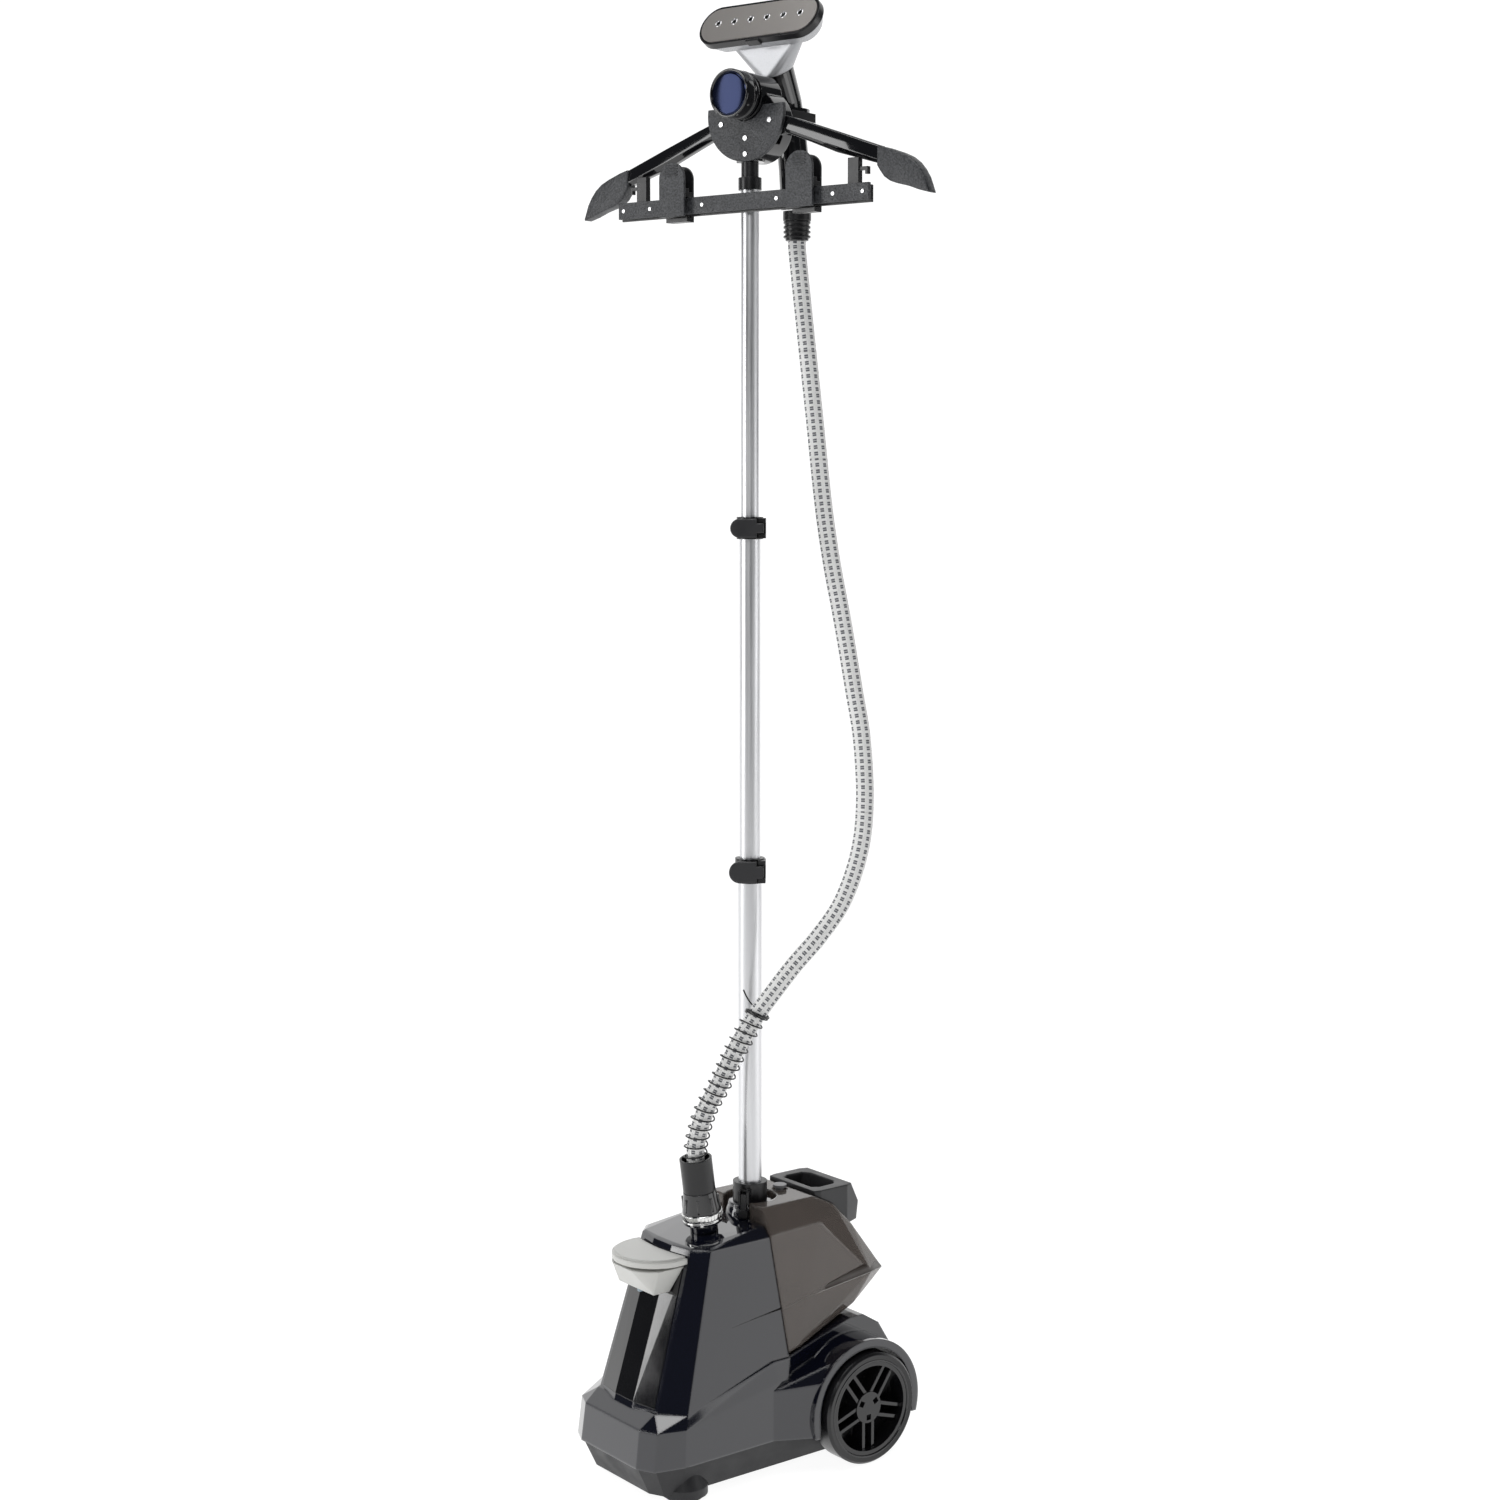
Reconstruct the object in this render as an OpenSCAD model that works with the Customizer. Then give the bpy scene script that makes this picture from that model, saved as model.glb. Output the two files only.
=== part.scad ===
// Upright garment steamer: wheeled base with a lift-off water tank, three-section
// telescopic pole, swivelling hanger with trouser clips, lift-off steam handset and hose.
// Millimetres, +Z up, -Y is the front of the base. The origin is on the floor.

/* [Base] */
// Distance from the pole to the front of the base skirt
base_front = 180; // [160:1:200]
// Outside diameter of the two rear wheels
wheel_d = 121; // [110:1:130]
// Width of each tyre
wheel_w = 29; // [24:1:32]
// Distance over the outer faces of the two tyres
track_w = 226; // [220:1:240]
// Distance from the pole back to the wheel axle
axle_back = 78; // [74:1:82]

/* [Pole] */
// Outside diameter of the lower pole tube
lower_tube_d = 25; // [24:0.5:26]
// Outside diameter of the middle pole tube
middle_tube_d = 22; // [21:0.5:22]
// Outside diameter of the upper pole tube
upper_tube_d = 19; // [18:0.5:19]
// Wall thickness of the pole tubes
tube_wall = 1.2; // [1:0.1:1.3]
// Height of the top of the lower tube
lower_top = 640; // [600:5:660]
// Height of the top of the middle tube
middle_top = 1003; // [960:1:1040]
// Height of the top of the upper tube
upper_top = 1352; // [1340:1:1360]

/* [Hanger] */
// Turn of the hanger from the base, seen from above
hanger_yaw = 15; // [-20:1:30]
// Length of the trouser bar
bar_len = 322; // [300:2:340]
// Width of one trouser clip
clip_w = 33; // [28:1:38]
// Distance of each trouser clip from the pole
clip_x = 82; // [70:1:95]

/* [Handset] */
// Length of the steam plate
plate_len = 146; // [120:2:160]
// Height of the steam plate
plate_h = 40; // [34:1:46]
// Backward lean of the steam plate
plate_lean = 27; // [15:1:35]
// Diameter of one steam hole
steam_hole_d = 5; // [3:0.5:6]

/* [Hose] */
// Outside diameter of the woven steam hose
hose_d = 19; // [16:0.5:22]
// Wire diameter of the coil guard at the foot of the hose
guard_wire_d = 2.6; // [2:0.1:3]
// Turns of the coil guard
guard_turns = 15; // [10:1:18]

/* [Hidden] */
pole_y = 15;
wheel_r = wheel_d / 2;
hub_z = wheel_r;
wheel_in = track_w / 2 - wheel_w;
seam_gap = 0.5;
deck_z = 262;
shell_t = 3;
socket_z = 262;
clamp_yaw = 50;
knob_z = 1444;
disc_z = 1427;
plate_c = [0, 14, 1524];
// Handset axis from the neck down to the hose gland
grip = [[0, 45, 1476], [0, 63, 1446], [0, 71, 1420], [0, 78, 1378], [0, 83, 1338]];
grip_tilt = [31, 24, 13, 8, 7];
grip_r = [19, 16.5, 16, 16.5, 17.2];
// Middle line of the hose, from the handset gland down to the hose connector
hose_line = [[-21.5, 80, 1304], [-20, 80, 1288], [-6, 79, 1211], [9, 80, 1116], [23, 80, 1031],
    [36, 81, 968], [51, 84, 905], [67, 87, 832], [79, 88, 780], [89, 84, 717], [93, 74, 665],
    [90, 54, 614], [81, 30, 578], [68, 6, 547], [57, -16, 516], [49, -34, 490], [40, -50, 459],
    [29, -64, 421], [20, -75, 394], [12.5, -81, 361], [10, -80.5, 340], [10, -76.8, 313.6]];
cap_c = [10, -69, 258];
cap_lean = [8, 0, 0];

// ---------- helpers ----------

module at_pole() { translate([0, pole_y, 0]) children(); }
module at_hanger() { translate([0, pole_y, 0]) rotate([0, 0, hanger_yaw]) children(); }
module both() { children(); mirror([1, 0, 0]) children(); }
// Cylinder along +Y, starting at y = 0
module rod_y(r, h) { rotate([-90, 0, 0]) cylinder(r = r, h = h); }
// Cylinder along +X, centred
module rod_x(r, h) { rotate([0, 90, 0]) cylinder(r = r, h = h, center = true); }
// A Y-Z outline extruded along X, centred
module across(w, outline) {
    rotate([90, 0, 90]) linear_extrude(w, center = true) polygon(outline);
}
module slab(z, outline) { translate([0, 0, z]) linear_extrude(0.2) polygon(outline); }
// A full-width outline from the points of its +X half, front to back
function whole(half) = concat(half, [for (i = [len(half) - 1:-1:0]) [-half[i][0], half[i][1]]]);
function shrink(half, t) = [for (i = [0:len(half) - 1])
    [half[i][0] - t, half[i][1] + (half[i][1] < -60 ? t : (half[i][1] > -30 ? -t : 0))]];
module stadium(len, h) {
    square([len - h, h], center = true);
    for (s = [-1, 1]) translate([s * (len - h) / 2, 0]) circle(d = h, $fn = 48);
}

// Swept tube
function unit(v) = v / norm(v);
function tangent(p, i) = unit(p[min(i + 1, len(p) - 1)] - p[max(i - 1, 0)]);
function ring(c, t, ref, r, n) = let (a = unit(cross(ref, t)), b = cross(t, a))
    [for (k = [0:n - 1]) c + r * (cos(360 * k / n) * a + sin(360 * k / n) * b)];
function tube_points(p, ref, r, n) =
    [for (i = [0:len(p) - 1]) each ring(p[i], tangent(p, i), ref, r, n)];
function tube_faces(m, n) = concat(
    [[for (k = [0:n - 1]) k]],
    [for (i = [0:m - 2]) for (k = [0:n - 1])
        [i * n + k, (i + 1) * n + k, (i + 1) * n + (k + 1) % n, i * n + (k + 1) % n]],
    [[for (k = [n - 1:-1:0]) (m - 1) * n + k]]);
module swept(p, ref, r, n) {
    polyhedron(points = tube_points(p, ref, r, n), faces = tube_faces(len(p), n), convexity = 10);
}
// Smooth line through points, steps pieces between each two
function bend(a, b, c, d, t) = 0.5 * (2 * b + (c - a) * t + (2 * a - 5 * b + 4 * c - d) * t * t
    + (3 * b - a - 3 * c + d) * t * t * t);
function smooth(p, steps) = concat(
    [for (i = [0:len(p) - 2]) for (s = [0:steps - 1])
        bend(p[max(i - 1, 0)], p[i], p[i + 1], p[min(i + 2, len(p) - 1)], s / steps)],
    [p[len(p) - 1]]);

// ---------- base ----------

rim = [[50, -base_front - 8], [70, -179], [79, -146], [79, -15]];
shoulder = [[49, -base_front - 3], [69, -174], [79, -145], [79, -100]];
brow = [[51, 15 - base_front], [75, -141]];
tray_top = [[49, -base_front - 5], [69, -176], [77, -145], [77, 136]];
tray_low = [[48, 10 - base_front], [64, -162], [69, -142], [70, 122]];
body_low = [[16, 11 - base_front], [52, 17 - base_front], [76, -141], [76, 0.3]];
body_top = [[16, 63.5 - base_front], [43, 68 - base_front], [58, -97], [58.5, -19]];
deck_front = [[14, 68 - base_front], [42, 71 - base_front], [54, -95], [54, -90]];
deck_back = [[50, -26], [50, -20.2]];

module skirt(t) {
    hull() {
        slab(40 - t, whole(shrink(rim, t)));
        slab(80 - t, whole(shrink(shoulder, t)));
        slab(93 - t, whole(shrink(brow, t)));
        slab(103 - t, whole(shrink([[79, -24], [79, -10]], t)));
        slab(125 - t, whole(shrink([[75, -26], [75, -4]], t)));
    }
}
module upper_body(t) {
    hull() {
        slab(90 - t, whole(shrink(body_low, t)));
        slab(255 - t, whole(shrink(body_top, t)));
        slab(deck_z - 5.2 - t, whole(shrink(deck_front, t)));
        slab(deck_z + 3.8 - t, whole(shrink(deck_back, t)));
    }
}
hump = [[-14, 40], [-14, 120], [-4, 125.5], [41, 138.8], [82, 149.4], [100, 149.6], [122, 136], [141, 106],
    [150, 74], [150, 40]];
hump_in = [[-20, 38], [-20, 117], [-4, 122], [41, 135.3], [82, 145.9], [99, 146], [119, 133], [138, 104],
    [147, 74], [147, 38]];
module fender() {
    intersection() {
        translate([0, axle_back, hub_z]) rotate([0, 90, 0]) translate([0, 0, 66])
            cylinder(r = wheel_r + 13, h = 39, $fn = 96);
        translate([60, -10, 40]) cube([60, 180, 120]);
    }
}
module flare() {
    hull() {
        translate([60, -30, 40]) cube([18.9, 1, 55]);
        translate([60, 8, 40]) cube([32, 1, 55]);
        translate([60, 18, 40]) cube([44, 1, 60]);
        translate([60, 45, 100]) cube([44, 1, 22]);
    }
}
module wheel_well() {
    translate([0, axle_back, hub_z]) rotate([0, 90, 0])
        translate([0, 0, wheel_in - 2.5]) cylinder(r = wheel_r + 4, h = 60, $fn = 96);
    translate([wheel_in - 2.5, axle_back - wheel_r - 4, 0]) cube([60, 2 * wheel_r + 8, hub_z]);
}

module base_shell() at_pole() color("#15161f") {
    difference() {
        union() {
            skirt(0);
            upper_body(0);
            across(144, hump);
            both() fender();
            both() flare();
            cylinder(r = 27, h = deck_z + 3);
        }
        skirt(shell_t);
        upper_body(shell_t);
        across(138, hump_in);
        translate([0, 0, -1]) cylinder(r = 24, h = deck_z - 3);
        both() wheel_well();
        translate([0, 0, 200]) cylinder(r = 19.2, h = 80);
        translate([0, 60, 130]) cylinder(r = 13.5, h = 40);
        translate(cap_c) rotate(cap_lean) translate([0, 0, -30]) cylinder(r = 8.2, h = 60);
        translate(cap_c) rotate(cap_lean) translate([0, 0, 3.9]) cylinder(r = 15.5, h = 14);
        translate([-100, -200, -10]) cube([200, 400, 50.2]);
        translate([0, axle_back, hub_z]) rod_x(4.15, 240);
        translate([-40, 140, 66]) rod_y(7.2, 20);
    }
}
module base_tray() at_pole() color("#1c1c1e") {
    difference() {
        union() {
            hull() {
                slab(9, whole(tray_low));
                slab(39.6, whole(tray_top));
            }
            both() translate([56, -131, 4]) cylinder(r = 25, h = 9);
            both() translate([56, -131, 13]) cylinder(r1 = 25, r2 = 15, h = 20);
        }
        hull() {
            slab(12, whole(shrink(tray_low, 3)));
            slab(41, whole(shrink(tray_top, 3)));
        }
        both() translate([56, -131, 8]) cylinder(r = 20, h = 10);
        both() translate([56, -131, 17.9]) cylinder(r1 = 20, r2 = 9, h = 17);
        both() wheel_well();
    }
}
module foot_pads() at_pole() color("#2a2a2a")
    both() translate([56, -131, 0]) cylinder(r1 = 20, r2 = 23, h = 4);

module panel_block() hull() {
    slab(97, whole([[16, 12.4 - base_front], [47, 17.6 - base_front], [47, 24 - base_front]]));
    slab(236, whole([[16, 56.6 - base_front], [39, 60.3 - base_front], [39, 66 - base_front]]));
}
module front_panel() at_pole() color("#0d0e14") difference() {
    panel_block();
    upper_body(0);
}
module pedal_plan() {
    intersection() {
        difference() {
            translate([0, 53 - base_front]) circle(r = 45, $fn = 96);
            translate([0, 228.5 - base_front]) circle(r = 171, $fn = 360);
        }
        translate([-50, -200]) square([100, 90]);
    }
}
module pedal_housing() at_pole() color("#d8d8d6") {
    difference() {
        hull() {
            translate([0, 0, 238]) linear_extrude(0.5) intersection() {
                pedal_plan();
                translate([-39, -169]) square([78, 60]);
            }
            translate([0, -141, 212]) linear_extrude(0.5) square([62, 20], center = true);
        }
        hull() {
            slab(90, whole(body_low));
            slab(255, whole(body_top));
        }
        panel_block();
        translate([0, -145.8, 205]) cylinder(r = 3.2, h = 12);
        both() translate([10, -129.5, 234.5]) cube([7, 8.5, 8]);
    }
    both() translate([18, -127.5, 238]) cube([4, 4.5, 3.4]);
    translate([0, -125.2, 239.5]) rod_x(1.1, 42);
}
module pedal_lid() at_pole() color("#d9d8d2") {
    difference() {
        union() {
            translate([0, 0, 242]) linear_extrude(6) pedal_plan();
            translate([0, 0, 248]) linear_extrude(2) intersection() {
                pedal_plan();
                translate([0, 53 - base_front]) circle(r = 42, $fn = 96);
            }
        }
        translate([-50, -116, 230]) cube([100, 40, 40]);
    }
    both() difference() {
        translate([11, -128, 236.7]) cube([5, 5.4, 5.6]);
        translate([0, -125.2, 239.5]) rod_x(1.3, 60);
    }
}
module status_lamp() at_pole() color("#b8d8e8") translate([0, -145.8, 208]) cylinder(r = 3, h = 9);

module hose_inlet() at_pole() color("#15161f") translate(cap_c) rotate(cap_lean)
    difference() {
        union() {
            translate([0, 0, 4]) cylinder(r = 15, h = 8.6);
            translate([0, 0, -26]) cylinder(r = 8, h = 81.8);
        }
        translate([0, 0, -27]) cylinder(r = 5, h = 90);
    }
module hose_nut() at_pole() color("#d8d8d8") translate(cap_c) rotate(cap_lean)
    difference() {
        translate([0, 0, 12.9]) cylinder(r1 = 21.2, r2 = 22, h = 13);
        translate([0, 0, 12]) cylinder(r = 8.3, h = 15);
    }
module hose_sleeve() at_pole() color("#101014") translate(cap_c) rotate(cap_lean)
    difference() {
        union() {
            translate([0, 0, 26.3]) cylinder(r1 = 21, r2 = 17.5, h = 22);
            for (a = [0:45:315]) rotate([0, 0, a]) translate([17, -1.2, 27]) cube([3, 2.4, 16]);
        }
        translate([0, 0, 26]) cylinder(r = 8.3, h = 30);
    }
module hose_cap() at_pole() color("#1a1a1a") translate(cap_c) rotate(cap_lean)
    difference() {
        translate([0, 0, 48.6]) cylinder(r = 17.2, h = 36);
        translate([0, 0, 48]) cylinder(r = 8.3, h = 30);
        translate([0, 0, 56]) cylinder(r = 15, h = 30);
    }

module pole_socket() at_pole() color("#15161f")
    difference() {
        union() {
            translate([0, 0, 256]) cylinder(r = 19, h = 9.5);
            translate([0, 0, 265.2]) cylinder(r1 = 19, r2 = 24, h = 11);
            translate([0, 0, 276]) cylinder(r = 24, h = 4);
        }
        translate([0, 0, 250]) cylinder(r = lower_tube_d / 2, h = 40);
    }
module pole_collar() at_pole() color("#161616") {
    difference() {
        union() {
            translate([0, 0, 280]) cylinder(r = 18.5, h = 21);
            rotate([0, 0, 38]) translate([-6, -30, 282]) cube([12, 14, 14]);
        }
        translate([0, 0, 279]) cylinder(r = lower_tube_d / 2, h = 30);
        rotate([0, 0, 38]) translate([-3.5, -32, 280]) cube([7, 9.5, 18]);
    }
    rotate([0, 0, 38]) translate([0, -27, 290]) rod_x(1.5, 11);
}
module collar_lever() at_pole() color("#202020") rotate([0, 0, 38])
    difference() {
        union() {
            translate([-3.1, -29.5, 270]) cube([6.2, 4.5, 23]);
            translate([-5, -31.5, 267.5]) cube([10, 6, 8]);
        }
        translate([0, -27, 290]) rod_x(1.8, 20);
    }

// ---------- water tank ----------

tank_a = [[-3.7, 129], [-18.5, 255], [-18.5, 284], [52, 284], [80, 270], [106, 243], [141, 197], [150, 186],
    [136, 174], [106, 156.5], [84, 156.5]];
tank_b = [[-9.5, 178], [-18.3, 253], [-18.3, 257], [50, 259], [105, 206], [122, 190], [96, 160]];
tank_c = [[-3.8, 130], [-4.4, 135], [10, 136], [10, 133.5]];
tank_d = [[-9.2, 176], [-8.5, 170], [30, 178], [30, 184]];
module tank_hull(t) {
    hull() {
        rotate([90, 0, 90]) linear_extrude(2 * (45 - t), center = true) offset(delta = -t) polygon(tank_a);
        rotate([90, 0, 90]) linear_extrude(2 * (60 - t), center = true) offset(delta = -t) polygon(tank_b);
        rotate([90, 0, 90]) linear_extrude(2 * (73 - t), center = true) offset(delta = -t / 2) polygon(tank_c);
        rotate([90, 0, 90]) linear_extrude(2 * (67 - t), center = true) offset(delta = -t / 2) polygon(tank_d);
    }
}
module tank_notch(r) { translate([0, 0, 100]) cylinder(r = r, h = 220); }
module water_tank() at_pole() color("#6b625c", 0.55) {
    difference() {
        tank_hull(0);
        difference() { tank_hull(2.6); tank_notch(31.5); }
        tank_notch(28.8);
        translate([0, 60, 120]) cylinder(r = 12, h = 50);
        translate([0, 41, 270]) cylinder(r = 8.2, h = 30);
    }
}
handle_side = [[58, 286.5], [111, 286.5], [127, 262], [123, 243], [98, 243], [58, 272]];
handle_plan = [[-36, 50], [36, 50], [41, 66], [41, 103], [29, 132], [-29, 132], [-41, 103], [-41, 66]];
handle_well = [[-24, 66], [24, 66], [29, 74], [28, 95], [20, 101], [-20, 101], [-28, 95], [-29, 74]];
module tank_handle() at_pole() color("#2b2b2d") difference() {
    intersection() {
        across(90, handle_side);
        translate([0, 0, 230]) linear_extrude(70) polygon(handle_plan);
    }
    translate([0, 0, 200]) linear_extrude(100) polygon(handle_well);
    tank_hull(-0.25);
    tank_notch(29.5);
}
module tank_button() at_pole() color("#8a8a8a")
    translate([0, 41, 0]) difference() {
        union() {
            translate([0, 0, 277]) cylinder(r = 5, h = 10);
            translate([0, 0, 286]) cylinder(r = 7.6, h = 3);
        }
        translate([0, 0, 276]) cylinder(r = 2, h = 8);
    }
module tank_valve() at_pole() color("#e8e8e8") translate([0, 60, 0])
    difference() {
        union() {
            translate([0, 0, 149]) cylinder(r = 11.8, h = 7);
            translate([0, 0, 156]) cylinder(r = 8, h = 16);
        }
        translate([0, 0, 148]) cylinder(r = 4, h = 20);
    }

// ---------- wheels ----------

module at_wheel() { translate([0, axle_back, hub_z]) rotate([0, 90, 0]) children(); }
module tyre(s) at_pole() color("#17171a") at_wheel()
    translate([0, 0, s > 0 ? wheel_in : -wheel_in - wheel_w]) rotate_extrude($fn = 96)
        polygon([[wheel_r - 9.5, 1], [wheel_r - 2.5, 0], [wheel_r, 2.5], [wheel_r, wheel_w - 2.5],
            [wheel_r - 2.5, wheel_w], [wheel_r - 9.5, wheel_w - 1]]);
module rim(s) at_pole() color("#222224") at_wheel() mirror([0, 0, s > 0 ? 0 : 1])
    translate([0, 0, wheel_in]) difference() {
        union() {
            difference() {
                translate([0, 0, 1.5]) cylinder(r = wheel_r - 9.5, h = wheel_w - 3, $fn = 96);
                translate([0, 0, 6]) cylinder(r = wheel_r - 14, h = wheel_w);
            }
            cylinder(r = 17, h = wheel_w - 5);
            for (a = [0:72:288]) rotate([0, 0, a]) for (y = [-6.4, 6.4])
                translate([12, y - 1.9, 3]) cube([wheel_r - 24, 3.8, wheel_w - 9]);
        }
        translate([0, 0, -1]) cylinder(r = 4.3, h = wheel_w - 8);
        for (a = [0, 120, 240]) rotate([0, 0, a]) translate([8, -3, wheel_w - 9]) cube([6, 6, 8]);
    }
module axle() at_pole() color("#9a9a9a") at_wheel()
    cylinder(r = 4, h = 2 * (track_w / 2 - 11), center = true);

// ---------- inside the base ----------

module boiler() at_pole() color("#b5b5b5")
    translate([-34, -100, 60]) difference() {
        union() {
            cylinder(r = 30, h = 74);
            for (a = [45:90:315]) rotate([0, 0, a]) translate([20, 0, -48]) cylinder(r = 4, h = 49);
            translate([0, 0, 34]) cylinder(r = 34, h = 5);
        }
        translate([0, 0, 3]) cylinder(r = 27, h = 68);
    }
module heater() at_pole() color("#8d5f3c") translate([-34, -100, 70])
    rotate_extrude() translate([18, 0]) circle(r = 4);
module steam_pipe() at_pole() color("#c9c9c9") {
    translate([-34, -100, 134.2]) cylinder(r = 5, h = 32);
    translate([10, -65.5, 176]) cylinder(r = 5, h = 54.5);
    hull() {
        translate([-34, -100, 166]) cylinder(r = 5, h = 4, $fn = 24);
        translate([10, -65.5, 174]) cylinder(r = 5, h = 4, $fn = 24);
    }
}
module feed_cup() at_pole() color("#3a3a3c") translate([0, 60, 0])
    difference() {
        translate([0, 0, 112]) cylinder(r = 15, h = 22);
        translate([0, 0, 115]) cylinder(r = 11, h = 30);
    }
module drip_screws() at_pole() color("#a8a8a8")
    both() for (y = [-100, 110]) translate([62, y, 6.5]) cylinder(r = 3, h = 3);
module cord_gland() at_pole() color("#1a1a1a") translate([-40, 144, 66])
    difference() {
        union() {
            rod_y(7, 14);
            translate([0, 6.2, 0]) rod_y(10, 3);
        }
        translate([0, -1, 0]) rod_y(3.6, 20);
    }

// ---------- pole ----------

module tube(d, z0, z1) difference() {
    translate([0, 0, z0]) cylinder(d = d, h = z1 - z0);
    translate([0, 0, z0 - 1]) cylinder(d = d - 2 * tube_wall, h = z1 - z0 + 2);
}
module lower_tube() at_pole() color("#c4c6c8") tube(lower_tube_d, 56, lower_top);
module middle_tube() at_pole() color("#c8cacc") tube(middle_tube_d, 566, middle_top);
module upper_tube() at_pole() color("#cbcdcf") tube(upper_tube_d, 936, upper_top);
module tube_foot() at_pole() color("#2a2a2a") difference() {
    union() {
        translate([0, 0, 12.3]) cylinder(r = 20, h = 44);
        translate([0, 0, 56]) cylinder(r = 18, h = 30);
    }
    translate([0, 0, 56]) cylinder(d = lower_tube_d, h = 40);
    translate([0, 0, 16]) cylinder(r = 9, h = 60);
}
module clamp_ring(z, h, d_low, d_high, z_step, r) at_pole() color("#1e1f22") {
    difference() {
        union() {
            translate([0, 0, z]) cylinder(r = r, h = h);
            rotate([0, 0, clamp_yaw]) translate([9, -r - 1, z + 1]) cube([8, r + 2, h - 2]);
        }
        translate([0, 0, z - 1]) cylinder(d = d_low, h = z_step - z + 1);
        translate([0, 0, z - 1]) cylinder(d = d_high, h = h + 2);
        rotate([0, 0, clamp_yaw]) translate([7.5, -r - 5, z + 6]) cube([12, 10.5, h - 12]);
    }
    rotate([0, 0, clamp_yaw]) translate([13, -r + 1.5, z + 2]) cylinder(r = 1.5, h = h - 4);
}
module clamp_lever(z, h, r) at_pole() color("#3a3b3e") rotate([0, 0, clamp_yaw])
    difference() {
        union() {
            translate([-10, -r - 5.5, z + 1.5]) cube([18, 4.3, h - 3]);
            translate([-10, -r - 3.35, z + h / 2]) rotate([90, 0, 0])
                cylinder(d = h - 3, h = 4.3, center = true);
            translate([7.9, -r - 5.5, z + 6.4]) cube([7, 9, h - 12.8]);
        }
        translate([13, -r + 1.5, z - 1]) cylinder(r = 1.8, h = h + 2);
    }
module clamp_low() clamp_ring(lower_top - 13, 26, lower_tube_d, middle_tube_d + 0.6, lower_top, 15.8);
module clamp_low_lever() clamp_lever(lower_top - 13, 26, 15.8);
module clamp_high() clamp_ring(middle_top - 12, 23, middle_tube_d, upper_tube_d + 0.6, middle_top, 14);
module clamp_high_lever() clamp_lever(middle_top - 12, 23, 14);
module pole_top() at_pole() color("#151515") difference() {
    union() {
        translate([0, 0, 1350]) cylinder(r = 12, h = 12.5);
        translate([0, 0, 1362]) cylinder(r = 9, h = 16);
        translate([0, 0, 1377]) cylinder(r = 3.5, h = 29);
        translate([0, 0, 1320]) cylinder(d = upper_tube_d - 2 * tube_wall, h = 31);
    }
    translate([0, 0, 1340]) difference() {
        cylinder(d = upper_tube_d, h = upper_top - 1340);
        translate([0, 0, -1]) cylinder(d = upper_tube_d - 2 * tube_wall, h = 20);
    }
}

// ---------- hanger ----------

module hub_body() at_hanger() color("#131316") difference() {
    union() {
        translate([0, -3.6, disc_z - 11]) rod_y(38, 27);
        translate([0, -12, knob_z]) rod_y(24, 35);
        translate([0, 0, 1378.3]) cylinder(r = 15, h = 20.2);
        translate([-14, 20, 1419]) cube([28, 18, 16]);
    }
    translate([0, 0, 1370]) cylinder(r = 3.55, h = 36.5);
    translate([-50, -20, 1370]) cube([100, 16.3, 49]);
    translate([0, -13, knob_z]) rod_y(8.3, 14);
    both() translate([20, -3.7, 1395]) cube([40, 12.3, 34]);
}
module hub_plate() at_hanger() color("#3a3c3f") difference() {
    translate([0, -8.2, disc_z]) rod_y(48.5, 4.4);
    translate([0, -9, knob_z]) rod_y(24.6, 6);
    translate([-60, -9, 1434]) cube([120, 6, 60]);
    for (p = [[-31, 1418], [31, 1418], [0, 1402], [0, 1386]])
        translate([p[0], -9, p[1]]) rod_y(1.6, 6);
}
module hanger_screws() at_hanger() color("#e0e0e0") {
    for (p = [[-31, 1418], [31, 1418], [0, 1402], [0, 1386]]) translate([p[0], -9.2, p[1]]) {
        rod_y(2.6, 1);
        rod_y(1.6, 5.3);
    }
    both() for (x = [48, 118, 154]) translate([x, -19.8, 1337]) rod_y(2, 0.8);
}
module knob() at_hanger() color("#0b0b10") difference() {
    union() {
        translate([0, -37, knob_z]) rod_y(24.5, 13);
        translate([0, -24.5, knob_z]) rod_y(22.5, 4);
        translate([0, -21, knob_z]) rod_y(24.5, 4.5);
        translate([0, -17, knob_z]) rod_y(8, 12);
    }
    translate([0, -37.1, knob_z]) rod_y(21.5, 1.6);
}
module wing() {
    translate([0, 8.4, 0]) rotate([90, 0, 0]) linear_extrude(12)
        polygon([[20.2, 1398], [20.2, 1424], [44, 1422.5], [66, 1416], [112, 1400.5], [163, 1382], [163, 1364],
            [132, 1372], [110, 1379.5], [42, 1404], [36, 1398]]);
}
module paddle() {
    translate([0, 9.6, 0]) rotate([90, 0, 0]) linear_extrude(14.4)
        polygon([[162, 1382.6], [188, 1374.5], [203, 1367], [212, 1357.5], [218, 1347], [223.5, 1332],
            [198, 1340], [176, 1346.5], [168, 1351], [162, 1360]]);
}
module wing_right() at_hanger() color("#2b2d30") { wing(); paddle(); }
module wing_left() at_hanger() color("#2b2d30") mirror([1, 0, 0]) { wing(); paddle(); }
module bar_front() at_hanger() color("#3a3c3f")
    translate([-bar_len / 2, -19, 1328.5]) cube([bar_len, 4, 17]);
module bar_back() at_hanger() color("#26272a") {
    translate([-bar_len / 2, -13, 1326.5]) cube([bar_len, 2.6, 17]);
    both() translate([bar_len / 2 - 14, -15, 1328.5]) cube([14, 2.2, 15]);
    bar_posts();
}
module bar_posts() both() {
    translate([130, -10.4, 1338]) cube([13, 6.8, 34]);
    translate([143, -9, 1359]) cube([10, 5, 3.5]);
    translate([150, -9, 1355]) cube([3, 5, 4.2]);
}
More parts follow.
